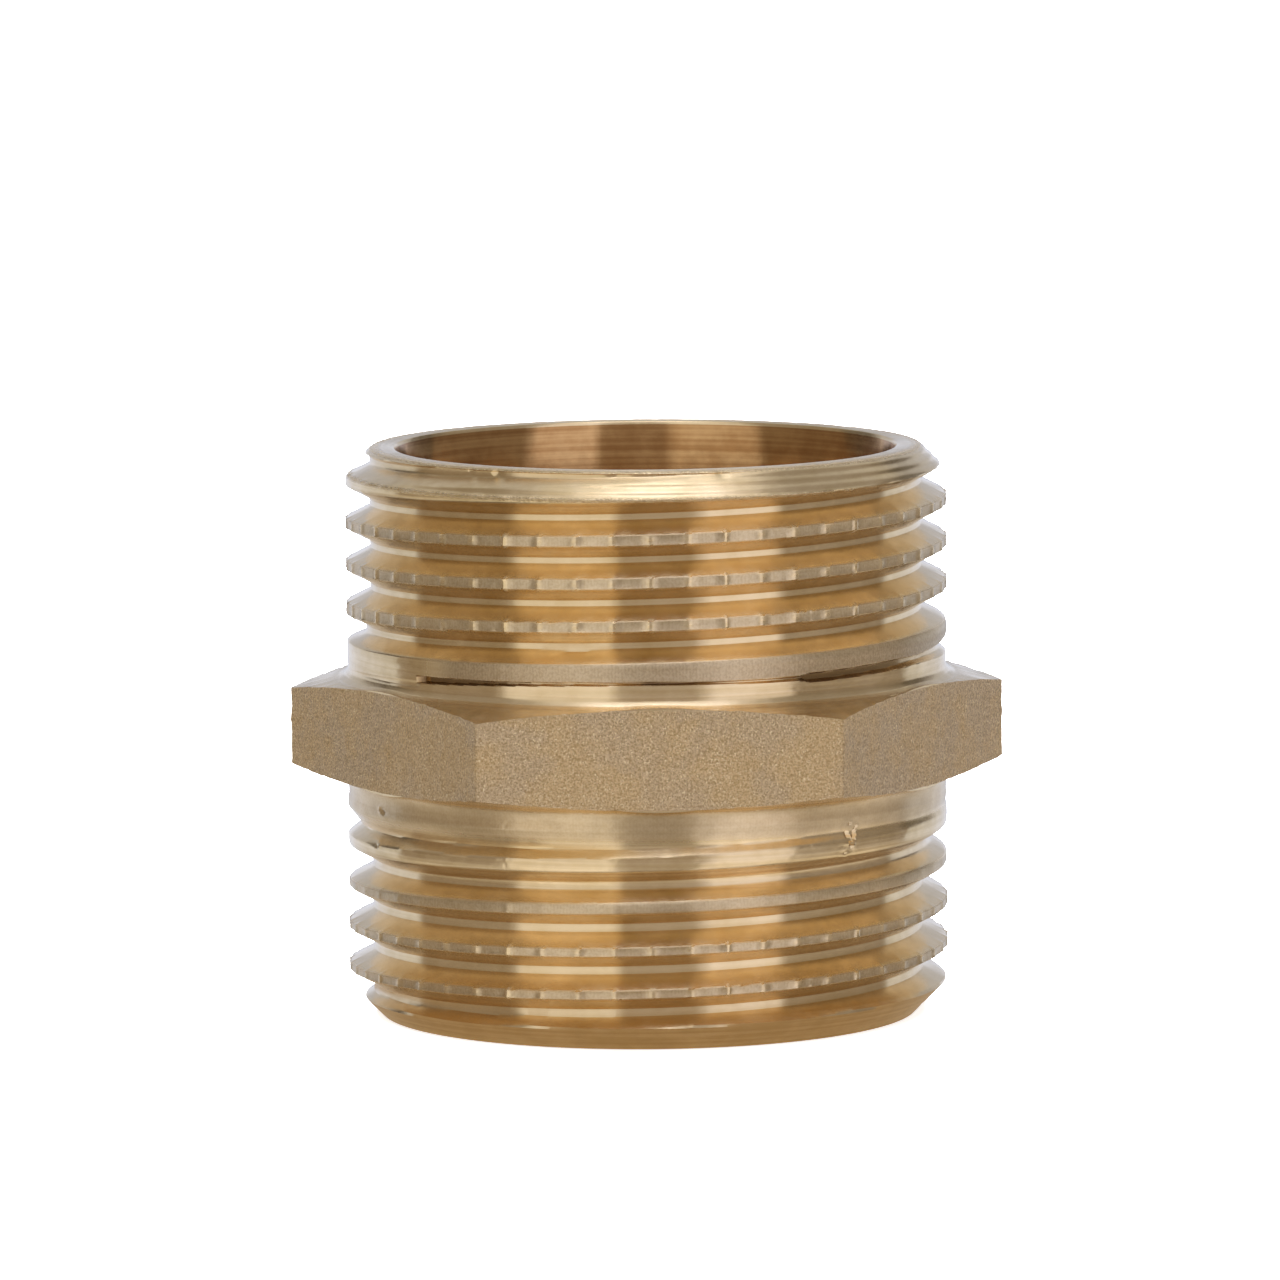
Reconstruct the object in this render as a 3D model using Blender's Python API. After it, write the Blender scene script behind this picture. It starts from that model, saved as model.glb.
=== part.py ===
"""Hex nipple: two equal male pipe threads on one forged brass body with a wrench hexagon between them.

The body stands on its lower end face. The origin is the centre of that face, +Z is the axis of the
bore, and one wrench flat faces -Y. Lengths are in metres.
"""

import math

import bmesh
import bpy

MM = 0.001

# Overall
TOTAL_LENGTH = 31.25 * MM
BORE_RADIUS = 13.70 * MM
BORE_CHAMFER = 0.20 * MM
TOP_FACE_RADIUS = 15.10 * MM
BOTTOM_FACE_RADIUS = 14.75 * MM

# Parallel pipe thread G 1: 11 threads per inch, 55 degree flanks, right-hand
PITCH = 25.4 / 11 * MM
CREST_RADIUS = 16.50 * MM
THREAD_DEPTH = 1.35 * MM
CREST_FLAT = 0.45 * MM
FLANK_ANGLE = math.radians(27.5)
UPPER_CREST_AT_X = 30.61 * MM
LOWER_CREST_AT_X = 10.76 * MM

# Run-out: each groove fades away before it reaches the hexagon
UPPER_GROOVE_END = 19.52 * MM
LOWER_GROOVE_END = 12.00 * MM
RUNOUT_SLOPE = 0.574
CUTTER_LEAD_IN = 0.10 * MM

# Wrench hexagon
ACROSS_FLATS = 34.0 * MM
HEX_CORNER_ROUND = 0.15 * MM
HEX_MIDDLE = 15.95 * MM
HEX_FLAT_HEIGHT = 5.36 * MM
HEX_CORNER_HEIGHT = 4.18 * MM
SHOULDER_RADIUS = 17.14 * MM
UPPER_NECK = 19.20 * MM
LOWER_NECK = 12.52 * MM

# Facets
STEPS_PER_TURN = 60
CORNER_SEGMENTS = 2
CUTTER_MARGIN = 0.10 * MM
CUTTER_REACH = 0.70 * MM
SLIVER = 0.001 * MM

# Brass
BRASS_COLOUR = (0.60, 0.40, 0.19, 1.0)
BRASS_ROUGHNESS = 0.32
BRASS_METALLIC = 1.0


def clear_scene():
    for old in list(bpy.data.objects):
        bpy.data.objects.remove(old, do_unlink=True)


def new_object(name, mesh_builder):
    """Wrap a finished bmesh in an object with outward faces."""
    bmesh.ops.recalc_face_normals(mesh_builder, faces=mesh_builder.faces)
    mesh = bpy.data.meshes.new(name)
    mesh_builder.to_mesh(mesh)
    mesh_builder.free()
    piece = bpy.data.objects.new(name, mesh)
    bpy.context.scene.collection.objects.link(piece)
    return piece


def hide_cutter(cutter):
    cutter.hide_render = True
    cutter.display_type = "WIRE"


def blank_outline():
    """The turned blank's section as (radius, height) points, up the bore and down the outside."""
    corner_radius = ACROSS_FLATS / math.sqrt(3)
    shoulder_rise = (HEX_FLAT_HEIGHT - HEX_CORNER_HEIGHT) / 2
    rise_per_radius = shoulder_rise / (corner_radius - SHOULDER_RADIUS)
    disc_radius = corner_radius + 1.0 * MM
    disc_half = HEX_FLAT_HEIGHT / 2 - rise_per_radius * (disc_radius - SHOULDER_RADIUS)
    flat_half = HEX_FLAT_HEIGHT / 2
    return [
        (BORE_RADIUS + BORE_CHAMFER, 0.0),
        (BORE_RADIUS, BORE_CHAMFER),
        (BORE_RADIUS, TOTAL_LENGTH - BORE_CHAMFER),
        (BORE_RADIUS + BORE_CHAMFER, TOTAL_LENGTH),
        (TOP_FACE_RADIUS, TOTAL_LENGTH),
        (CREST_RADIUS, TOTAL_LENGTH - (CREST_RADIUS - TOP_FACE_RADIUS)),
        (CREST_RADIUS, UPPER_NECK),
        (SHOULDER_RADIUS, HEX_MIDDLE + flat_half),
        (disc_radius, HEX_MIDDLE + disc_half),
        (disc_radius, HEX_MIDDLE - disc_half),
        (SHOULDER_RADIUS, HEX_MIDDLE - flat_half),
        (CREST_RADIUS, LOWER_NECK),
        (CREST_RADIUS, CREST_RADIUS - BOTTOM_FACE_RADIUS),
        (BOTTOM_FACE_RADIUS, 0.0),
    ]


def turned_blank(name):
    """Spin the closed section once round the axis."""
    builder = bmesh.new()
    section = [builder.verts.new((radius, 0.0, height)) for radius, height in blank_outline()]
    edges = [builder.edges.new((section[i - 1], section[i])) for i in range(len(section))]
    bmesh.ops.spin(
        builder,
        geom=section + edges,
        cent=(0.0, 0.0, 0.0),
        axis=(0.0, 0.0, 1.0),
        angle=2 * math.pi,
        steps=STEPS_PER_TURN,
        use_merge=True,
    )
    bmesh.ops.remove_doubles(builder, verts=builder.verts, dist=SLIVER)
    return new_object(name, builder)


def hexagon_prism(name):
    """A prism with two flats square to Y, its upright edges slightly rounded."""
    builder = bmesh.new()
    radius = ACROSS_FLATS / math.sqrt(3)
    corners = [
        builder.verts.new((radius * math.cos(k * math.pi / 3), radius * math.sin(k * math.pi / 3), 0.0))
        for k in range(6)
    ]
    base = builder.faces.new(corners)
    bmesh.ops.translate(builder, verts=corners, vec=(0.0, 0.0, -1.0 * MM))
    raised = bmesh.ops.extrude_face_region(builder, geom=[base])["geom"]
    top = [item for item in raised if isinstance(item, bmesh.types.BMVert)]
    bmesh.ops.translate(builder, verts=top, vec=(0.0, 0.0, TOTAL_LENGTH + 2.0 * MM))
    upright = [edge for edge in builder.edges if abs(edge.verts[0].co.z - edge.verts[1].co.z) > 1.0 * MM]
    bmesh.ops.bevel(
        builder,
        geom=upright,
        offset=HEX_CORNER_ROUND,
        offset_type="OFFSET",
        segments=CORNER_SEGMENTS,
        profile=0.5,
        affect="EDGES",
    )
    prism = new_object(name, builder)
    hide_cutter(prism)
    return prism


def groove_section(depth):
    """The groove's section as (radius, half width) pairs from its root out past the crests."""
    root_half = PITCH / 2 - CREST_FLAT / 2 - THREAD_DEPTH * math.tan(FLANK_ANGLE)
    mouth_half = root_half + (depth + CUTTER_MARGIN) * math.tan(FLANK_ANGLE)
    return [
        (CREST_RADIUS - depth, root_half),
        (CREST_RADIUS + CUTTER_MARGIN, mouth_half),
        (CREST_RADIUS + CUTTER_REACH, mouth_half),
    ]


def groove_depth(height, fade_height, direction):
    """Full depth on the thread, falling to nothing where the groove's middle reaches fade_height."""
    faded = RUNOUT_SLOPE * direction * (height - fade_height)
    return min(THREAD_DEPTH, faded)


def groove_cutter(name, crest_at_x, lowest, highest, fade_height, direction):
    """A right-hand helical ridge in the groove's shape; its middle climbs one pitch per turn."""
    first = math.ceil((lowest - crest_at_x - PITCH / 2) / PITCH * STEPS_PER_TURN)
    last = math.floor((highest - crest_at_x - PITCH / 2) / PITCH * STEPS_PER_TURN)
    builder = bmesh.new()
    rings = []
    for step in range(first, last + 1):
        angle = step * 2 * math.pi / STEPS_PER_TURN
        middle = crest_at_x + PITCH / 2 + PITCH * step / STEPS_PER_TURN
        section = groove_section(groove_depth(middle, fade_height, direction))
        outline = [(radius, -half) for radius, half in section]
        outline += [(radius, half) for radius, half in reversed(section)]
        rings.append([
            builder.verts.new((radius * math.cos(angle), radius * math.sin(angle), middle + rise))
            for radius, rise in outline
        ])
    for ring, following in zip(rings, rings[1:]):
        for k in range(len(ring)):
            builder.faces.new((ring[k - 1], ring[k], following[k], following[k - 1]))
    builder.faces.new(rings[0])
    builder.faces.new(reversed(rings[-1]))
    cutter = new_object(name, builder)
    hide_cutter(cutter)
    return cutter


def upper_groove_cutter():
    return groove_cutter(
        "upper_groove_cutter",
        UPPER_CREST_AT_X,
        UPPER_GROOVE_END - CUTTER_LEAD_IN,
        TOTAL_LENGTH + PITCH / 2,
        UPPER_GROOVE_END,
        1.0,
    )


def lower_groove_cutter():
    return groove_cutter(
        "lower_groove_cutter",
        LOWER_CREST_AT_X,
        -PITCH / 2,
        LOWER_GROOVE_END + CUTTER_LEAD_IN,
        LOWER_GROOVE_END,
        -1.0,
    )


def add_boolean(piece, name, operation, other):
    modifier = piece.modifiers.new(name, "BOOLEAN")
    modifier.operation = operation
    modifier.solver = "EXACT"
    modifier.object = other


def add_weld(piece):
    """Close the slivers that the cuts leave where two edges almost meet."""
    modifier = piece.modifiers.new("weld", "WELD")
    modifier.merge_threshold = SLIVER


def brass_material():
    material = bpy.data.materials.new("brass")
    material.use_nodes = True
    shader = material.node_tree.nodes["Principled BSDF"]
    shader.inputs["Base Color"].default_value = BRASS_COLOUR
    shader.inputs["Roughness"].default_value = BRASS_ROUGHNESS
    shader.inputs["Metallic"].default_value = BRASS_METALLIC
    return material


def nipple_body():
    """Turned blank, trimmed to a hexagon in the middle, with a thread cut on each end."""
    body = turned_blank("nipple_body")
    body.data.shade_smooth()
    body.data.set_sharp_from_angle(angle=math.radians(20))
    body.data.materials.append(brass_material())
    add_boolean(body, "hexagon", "INTERSECT", hexagon_prism("hexagon_guide"))
    add_boolean(body, "upper_thread", "DIFFERENCE", upper_groove_cutter())
    add_boolean(body, "lower_thread", "DIFFERENCE", lower_groove_cutter())
    add_weld(body)
    return body


clear_scene()
nipple_body()
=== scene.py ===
import math

import bpy
import numpy as np
from mathutils import Matrix, Vector


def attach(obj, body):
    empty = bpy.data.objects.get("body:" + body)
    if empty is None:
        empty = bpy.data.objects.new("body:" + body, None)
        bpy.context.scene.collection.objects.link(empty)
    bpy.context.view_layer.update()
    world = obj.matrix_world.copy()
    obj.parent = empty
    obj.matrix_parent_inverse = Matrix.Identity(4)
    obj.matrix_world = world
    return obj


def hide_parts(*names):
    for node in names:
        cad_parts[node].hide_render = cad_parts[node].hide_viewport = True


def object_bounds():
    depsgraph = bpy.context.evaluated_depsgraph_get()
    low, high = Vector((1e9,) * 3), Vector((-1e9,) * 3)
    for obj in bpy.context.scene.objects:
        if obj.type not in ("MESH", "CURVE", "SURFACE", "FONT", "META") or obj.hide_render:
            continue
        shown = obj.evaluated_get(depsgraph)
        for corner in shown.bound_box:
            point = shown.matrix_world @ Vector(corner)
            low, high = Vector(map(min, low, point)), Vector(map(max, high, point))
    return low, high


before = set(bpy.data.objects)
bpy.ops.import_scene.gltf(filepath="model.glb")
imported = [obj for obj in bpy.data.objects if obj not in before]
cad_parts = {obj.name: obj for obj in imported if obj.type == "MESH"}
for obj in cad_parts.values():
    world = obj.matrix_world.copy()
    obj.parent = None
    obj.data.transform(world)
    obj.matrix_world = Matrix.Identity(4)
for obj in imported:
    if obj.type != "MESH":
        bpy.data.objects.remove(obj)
CAD_LOW, CAD_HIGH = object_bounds()

# Lengths are in millimetres up to the point where the mesh and the camera are made, in metres.
MM = 0.001
FULL_TURN = 2 * math.pi

# Overall sizes, from the CAD body
LENGTH = (CAD_HIGH.z - CAD_LOW.z) / MM
FLAT_RADIUS = CAD_HIGH.y / MM
SIDE_ANGLE = FULL_TURN / 6
CORNER_RADIUS = FLAT_RADIUS / math.cos(SIDE_ANGLE / 2)

# Ends and bore
BORE_RADIUS = 13.70
BORE_CHAMFER = 0.20
TOP_FACE_RADIUS = 15.10
BOTTOM_FACE_RADIUS = 14.75
RIM_ROUND = 0.10

# Thread G 1: crests at the angle of +X, and the pitch that they climb in one turn
PITCH = 25.4 / 11
CREST_RADIUS = 16.50
THREAD_DEPTH = 1.35
FLANK_SLOPE = math.tan(math.radians(26.0))
UPPER_CREST_FLAT = 0.56
LOWER_CREST_FLAT = 0.46
ROOT_SOFTNESS = 0.12
CREST_SOFTNESS = 0.17
UPPER_CREST_AT_X = 30.61
LOWER_CREST_AT_X = 10.76

# Chatter marks of the chaser: small ridges, or ticks, across the crests, shallow pockets between them
# and ragged burrs along the crests' edges. PAST_EDGE says how far inside a crest's edge the burr lies,
# and between which distances the others come in; it is negative outside the crest.
TICKS_PER_TURN = 51
TICK_AT = math.radians(-91.4)
TICK_HALF_WIDTH = 0.28
TICK_HEIGHT = 0.075
TICK_PAST_EDGE = (-0.20, -0.10)
POCKET_DEPTH = 0.032
POCKET_PAST_EDGE = (0.06, 0.16)
BURR_HEIGHT = 0.070
BURR_HALF_WIDTH = 0.07
BURR_PAST_EDGE = 0.03

# Heights between which the chatter marks come in or fade out, what is left of the lower ones where
# they weaken, and how far from the chamfers the marks end
UPPER_TICKS_FROM = (21.6, 22.2)
UPPER_TICKS_TO = (29.0, 29.5)
LOWER_TICKS_WEAKEN = (5.9, 8.2)
LOWER_TICKS_TO = (8.3, 8.75)
WEAK_TICKS = 0.15
MARKS_ABOVE_CHAMFER = 0.3
MARKS_BELOW_CHAMFER = (0.2, 0.4)

# Uneven features: their height, and the number of waves that make them up, with the wave counts per
# turn, up to around or from lowest to highest, and the highest count per millimetre of height, along
BURR_NOISE = dict(waves=12, around=300, along=0.6, seed=5)
CREST_GRAIN_HEIGHT = 0.005
CREST_GRAIN_NOISE = dict(waves=24, around=420, along=2.0, seed=6)
CHAMFER_BURR_NOISE = dict(waves=20, lowest=30, highest=330, seed=11)
EDGE_WAVE_HEIGHT = 0.03
EDGE_NOISE = dict(waves=16, lowest=20, highest=160, seed=3)
FLAT_WAVE_HEIGHT = 0.035
FLAT_NOISE = dict(waves=30, around=160, along=1.0, seed=4)
LIP_WAVE_HEIGHT = 0.02
LIP_NOISE = dict(waves=16, lowest=20, highest=200, seed=8)

# Knocks from handling: scratches on the lower neck, from angle and height to angle and height in
# degrees and millimetres, and tears in the upper lip, as angle, half width and depth. Each scratch has
# banks of pushed-up metal at both sides.
SCRATCHES = [(-50.6, 11.90, -51.6, 10.95), (-48.8, 11.70, -50.4, 10.75), (-50.4, 10.75, -52.2, 10.25),
             (-154.0, 12.2, -152.5, 12.0), (-157.0, 10.2, -155.5, 10.1), (70.0, 11.8, 73.0, 11.1)]
LIP_TEARS = [(-130.4, 0.36, 0.09), (-123.6, 0.42, 0.12), (-98.0, 0.60, 0.07), (-84.0, 0.9, 0.06),
             (-76.5, 0.5, 0.09), (40.0, 0.6, 0.12), (131.0, 0.5, 0.14)]
SCRATCH_DEPTH = 0.11
SCRATCH_HALF_WIDTH = 0.14
BANK_HEIGHT = 0.04
BANK_AWAY = 0.17
BANK_HALF_WIDTH = 0.10

# Where the mesh has extra columns for these knocks: angle and half width in degrees
NICKED_COLUMNS = [(-50.5, 2.4), (-130.4, 1.8), (-123.6, 2.0), (-76.5, 1.8), (72.0, 2.0), (-154.0, 2.2)]

# How uneven the upper lip is, by degrees round the axis
LIP_UNEVENNESS = ([-110, -98, -80, -70], [0, 1, 1, 0])

# Depth of each thread by the height of its groove's middle
UPPER_DEPTH = ([20.3, 20.9, 21.4, 21.66, 21.68], [0.0, 0.90, 1.12, 1.20, THREAD_DEPTH])
LOWER_DEPTH = ([8.4, 9.65, 10.1, 10.5], [THREAD_DEPTH, 1.0, 0.9, 0.0])

# The last groove above the hexagon. It ends at an angle, in degrees, and a height on the thread's line.
# By degrees of turn from there: how far it lies above that line, its depth, half the width of its
# floor, the width of each side and how much painted shade darkens its recess. Then the degrees over which
# its end steps down, and between which the full thread takes over.
UPPER_TAIL_AT = -141.0
UPPER_TAIL_START = 19.30
UPPER_TAIL_LIFT = ([0, 32, 49, 67, 84, 100, 139, 200], [0.35, 0.43, 0.40, 0.24, 0.15, 0.17, 0.12, 0.0])
UPPER_TAIL_DEPTH = (
    [0, 20, 49, 67, 84, 100, 139, 200, 321, 360],
    [0.55, 0.42, 0.26, 0.24, 0.46, 0.48, 0.42, 0.64, 1.10, 1.25],
)
UPPER_TAIL_FLOOR = (
    [0, 9, 15, 23, 49, 79, 81, 104, 112, 139, 321],
    [0.14, 0.11, 0.08, 0.05, 0.03, 0.03, 0.16, 0.16, 0.08, 0.12, 0.20],
)
UPPER_TAIL_SIDE = ([0, 67, 84, 110, 139, 200, 321, 360], [0.08, 0.08, 0.14, 0.18, 0.50, 0.60, 0.55, 0.65])
UPPER_TAIL_PAINTED_SHADE = (
    [0, 16, 30, 47, 49, 60, 66, 78, 80, 98, 112, 125],
    [1.0, 0.8, 0.25, 0.15, 0.75, 0.6, 0.1, 0.1, 1.0, 0.85, 0.3, 0.0],
)
UPPER_TAIL_STEP = 0.3
UPPER_TAIL_BLEND = (300.0, 355.0)

# The thin ledge beside that groove: its relief, its half width, its height by degrees of turn, and the
# degrees between which it comes in and ends
LEDGE_RELIEF = 0.10
LEDGE_HALF_WIDTH = 0.10
LEDGE_LINE = ([0, 25, 45], [21.66, 21.72, 21.66])
LEDGE_FROM = (0.0, 3.0)
LEDGE_TO = (42.0, 45.0)

# The last groove below the hexagon, in the same way: lift, depth and its reach above and below its line.
# Here the turn starts where the groove leaves the full thread.
LOWER_TAIL_AT = 6.0
LOWER_TAIL_START = 9.645
LOWER_TAIL_LIFT = ([0, 172, 218, 262, 297, 352], [0.0, -0.17, -0.19, -0.27, -0.20, -0.33])
LOWER_TAIL_DEPTH = ([0, 172, 218, 262, 297, 352, 360], [0.95, 0.76, 0.62, 0.44, 0.27, 0.07, 0.0])
LOWER_TAIL_ABOVE = ([0, 172, 218, 262, 297, 352], [0.62, 0.95, 1.0, 1.15, 1.0, 0.6])
LOWER_TAIL_BELOW = ([0, 172, 262, 297, 352], [0.60, 0.60, 0.45, 0.40, 0.4])
LOWER_TAIL_SOFTNESS = 0.08
LOWER_TAIL_BLEND = (3.0, 55.0)

# Heights of the zones, from the lower end up
LOWER_CHAMFER_TOP = CREST_RADIUS - BOTTOM_FACE_RADIUS
LOWER_THREAD_TOP = 8.75
LOWER_NECK = 12.52
LOWER_SHOULDER = 13.27
UPPER_SHOULDER = 18.63
UPPER_NECK = 19.22
UPPER_THREAD_BOTTOM = 20.95
UPPER_CHAMFER_BOTTOM = LENGTH - (CREST_RADIUS - TOP_FACE_RADIUS)
UPPER_THREAD_TOP = UPPER_CHAMFER_BOTTOM - 0.30

# Hexagon, necks and the curves between them: SLOPE is the fall of the sloped faces per millimetre of
# radius, RIDGE and RIDGES the height and number of the turned ridges on the upper curve, and SINK how
# far the blasted skin lies below the flats
NECK_RADIUS = 16.46
NECK_BLEND = 0.3
SHOULDER_RADIUS = 17.14
SHOULDER_SLOPE = 0.237
SHOULDER_RIDGE = 0.012
SHOULDER_RIDGES = 3
CORNER_ROUND = 0.20
FLAT_SINK = 0.02

# Upper chamfer: the turning lines on it and the burr along its lower edge
CHAMFER_LINE_HEIGHT = 0.030
CHAMFER_LINE_SPACING = 0.40
CHAMFER_BURR_HEIGHT = 0.12
CHAMFER_BURR_HALF_WIDTH = 0.15
CHAMFER_BURR_ABOVE = 0.02

# Upper lip: how far it lies below the full length, how far its bend leans in, and between which
# distances below the top the tears fade
LIP_DROP = 0.02
LIP_LEAN = 0.04
LIP_TEAR_BELOW_TOP = (0.15, 0.55)

# Columns of the mesh, by distance from a ridge or from a corner of the hexagon
TICK_COLUMNS = (-0.62, -0.27, -0.11, 0.11, 0.27, 0.62)
CORNER_COLUMNS = (-0.22, -0.10, -0.04, 0.0, 0.04, 0.10, 0.22)
COLUMNS_PER_NICK = 7
LEAST_COLUMN_GAP = 0.05

# Rows of the mesh: beside the root and the mouth of a groove, and the number in each other zone. Points
# of a column that are nearer to each other than SAME_POINT are one point.
ROOT_ROWS = (-0.06, 0.06)
MOUTH_ROWS = (-0.17, -0.05, 0.03, 0.11)
LOWER_CHAMFER_ROWS = 12
LOWER_NECK_ROWS = 40
LOWER_CURVE_ROWS = 7
LOWER_FACE_ROWS = 4
FLAT_ROWS = 12
UPPER_FACE_ROWS = 5
UPPER_CURVE_ROWS = 9
UPPER_NECK_ROWS = 36
UPPER_EDGE_ROWS = 6
UPPER_CHAMFER_ROWS = 20
LIP_ROWS = 4
BORE_ROWS = 8
SAME_POINT = 1e-5

# Wear and painted shade for the materials. The tool left the crests and the lands beside the hexagon
# matt: each share, and the distances, heights or degrees between which it comes in or fades. Then the same
# for the painted shade in the last upper groove and for ragged edges.
CREST_MATT = 0.70
CREST_MATT_BELOW = (0.05, 0.12)
CREST_MATT_ABOVE = (0.005, 0.035)
CREST_MATT_BELOW_CHAMFER = (0.8, 1.1)
LOWER_LAND_MATT = 0.45
LOWER_LAND_FROM = (11.3, 11.8)
LOWER_LAND_TO = (12.8, 13.1)
UPPER_LAND_ABOVE_TAIL = (0.3, 0.4)
UPPER_LAND_TOP = UPPER_THREAD_BOTTOM + 0.2
UPPER_LAND_BELOW_NECK = (0.04, 0.12)
UPPER_LAND_DEGREES = (0.0, 14.0)
PAINTED_SHADE_BELOW_NECK = (0.02, 0.10)
PAINTED_SHADE_REACH = 0.60
RAGGED_REACH = 0.16
RAGGED_BELOW_CHAMFER = 0.03
RAGGED_DEPTH = 0.3

# Camera: angles in degrees, distances in millimetres, but the clip distances in metres
CAMERA_AZIMUTH = -2.17
CAMERA_ELEVATION = 7.21
CAMERA_ROLL = 0.407
CAMERA_DISTANCE = 545.0
CAMERA_PIVOT_HEIGHT = 15.5
CAMERA_AIM = (-0.363, 0.0, 20.437)
CAMERA_LENS = 278.3
CAMERA_SENSOR = 36.0
CAMERA_CLIP = (0.01, 100.0)


# ---- small maths

def smooth_step(value, low, high):
    share = np.clip((value - low) / (high - low), 0.0, 1.0)
    return share * share * (3 - 2 * share)


def soft_positive(value, softness):
    """value where it is above 0, else 0, with the bend rounded off."""
    return 0.5 * (value + np.sqrt(value * value + softness * softness))


def bump(value, half_width):
    """A smooth hill of height 1 around 0."""
    return 1 - smooth_step(np.abs(value), 0.0, half_width)


def ring_noise(angle, waves, lowest, highest, seed):
    """Seamless noise round the axis, roughly from -1 to 1."""
    draw = np.random.default_rng(seed)
    total = np.zeros_like(angle)
    for _ in range(waves):
        frequency = draw.integers(lowest, highest + 1)
        total += np.cos(frequency * angle + draw.uniform(0, FULL_TURN))
    return total / math.sqrt(2 * waves)


def surface_noise(angle, height, waves, around, along, seed):
    """Seamless noise over the surface: around is the highest wave count per turn, along the highest
    per millimetre of height."""
    draw = np.random.default_rng(seed)
    total = np.zeros_like(angle)
    for _ in range(waves):
        frequency = draw.integers(1, around + 1)
        rise = draw.uniform(-along, along) * FULL_TURN
        total += np.cos(frequency * angle + rise * height + draw.uniform(0, FULL_TURN))
    return total / math.sqrt(2 * waves)


def wrapped(angle):
    """The same angle between -pi and pi."""
    return (angle + math.pi) % FULL_TURN - math.pi


def degrees_after(angle, start):
    """Degrees of turn from start, which is in degrees, round to each angle: from 0 to 360."""
    return (np.degrees(angle) - start) % 360.0


def by_degrees(angle, degrees, values):
    """Values given at a few angles, in degrees, joined by straight lines round the whole turn."""
    return np.interp(np.degrees(angle), degrees, values, period=360)


# ---- the surface

def tick_mask(angle):
    spacing = FULL_TURN / TICKS_PER_TURN
    offset = (angle - TICK_AT + spacing / 2) % spacing - spacing / 2
    return bump(offset * CREST_RADIUS, TICK_HALF_WIDTH)


def mouth_half(crest_flat):
    """Half the width of a groove where it opens between the crests."""
    return (PITCH - crest_flat) / 2


def root_half(crest_flat):
    """Half the width of the flat at the bottom of a full groove."""
    return mouth_half(crest_flat) - THREAD_DEPTH * FLANK_SLOPE


def crest_detail(angle, height, past_edge, strength):
    """Relief of the crest: thin burrs along both edges, ridges across it and shallow pockets between."""
    tick = tick_mask(angle)
    inside = smooth_step(past_edge, *POCKET_PAST_EDGE)
    ragged = np.clip(0.6 + 0.6 * surface_noise(angle, height, **BURR_NOISE), 0.0, 1.3)
    burr = bump(past_edge - BURR_PAST_EDGE, BURR_HALF_WIDTH) * BURR_HEIGHT * ragged
    ridge = tick * smooth_step(past_edge, *TICK_PAST_EDGE) * TICK_HEIGHT
    pocket = inside * (1 - tick) * POCKET_DEPTH
    grain = inside * CREST_GRAIN_HEIGHT * surface_noise(angle, height, **CREST_GRAIN_NOISE)
    return strength * (burr + ridge - pocket) + grain


def upper_tick_strength(height):
    return smooth_step(height, *UPPER_TICKS_FROM) - smooth_step(height, *UPPER_TICKS_TO)


def lower_tick_strength(height):
    weakening = 1 - (1 - WEAK_TICKS) * smooth_step(height, *LOWER_TICKS_WEAKEN)
    return weakening * (1 - smooth_step(height, *LOWER_TICKS_TO))


def crest_relief(angle, height, past_upper, past_lower):
    """Burrs, ridges and pockets of both threads, kept off the chamfers."""
    relief = np.where(
        height > (UPPER_SHOULDER + LOWER_SHOULDER) / 2,
        crest_detail(angle, height, past_upper, upper_tick_strength(height)),
        crest_detail(angle, height, past_lower, lower_tick_strength(height)),
    )
    relief *= smooth_step(height - LOWER_CHAMFER_TOP, 0.0, MARKS_ABOVE_CHAMFER)
    relief *= smooth_step(UPPER_CHAMFER_BOTTOM - height, *MARKS_BELOW_CHAMFER)
    return relief


def thread_relief(angle, height, crest_at_x, crest_flat, depth_by_height):
    """How far the surface lies below the crests, and how far inside a crest's edge each point is."""
    first_middle = crest_at_x + PITCH / 2 + PITCH * angle / FULL_TURN
    middle = first_middle + PITCH * np.round((height - first_middle) / PITCH)
    depth = np.interp(middle, *depth_by_height)
    offset = np.abs(height - middle)
    rise = soft_positive((offset - root_half(crest_flat)) / FLANK_SLOPE, ROOT_SOFTNESS)
    cut = soft_positive(depth - rise, CREST_SOFTNESS)
    past_edge = offset - mouth_half(crest_flat) + (THREAD_DEPTH - depth) * FLANK_SLOPE
    return np.maximum(cut, 0.0), past_edge


def upper_tail_height(turn):
    return UPPER_TAIL_START + PITCH * turn / 360.0


def lower_tail_height(turn):
    return LOWER_TAIL_START + PITCH * turn / 360.0


def upper_tail_line(turn):
    """Height of the middle of the last groove above the hexagon."""
    return upper_tail_height(turn) + np.interp(turn, *UPPER_TAIL_LIFT)


def upper_tail(turn, height):
    """The last groove above the hexagon: it lifts, narrows and ends in a small box-like step."""
    floor_half = np.interp(turn, *UPPER_TAIL_FLOOR)
    foot = floor_half + np.interp(turn, *UPPER_TAIL_SIDE)
    inside = 1 - smooth_step(np.abs(height - upper_tail_line(turn)), floor_half, foot)
    return np.interp(turn, *UPPER_TAIL_DEPTH) * inside * smooth_step(turn, 0.0, UPPER_TAIL_STEP)


def lower_tail(turn, height):
    """The last groove below the hexagon: a wide shallow hollow that fades out upwards."""
    offset = height - lower_tail_height(turn) - np.interp(turn, *LOWER_TAIL_LIFT)
    above = np.interp(turn, *LOWER_TAIL_ABOVE)
    below = np.interp(turn, *LOWER_TAIL_BELOW)
    share = np.where(offset > 0, offset / above, -offset / below)
    inside = (1 - soft_positive(share, LOWER_TAIL_SOFTNESS)).clip(0, 1)
    return np.interp(turn, *LOWER_TAIL_DEPTH) * inside


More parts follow.
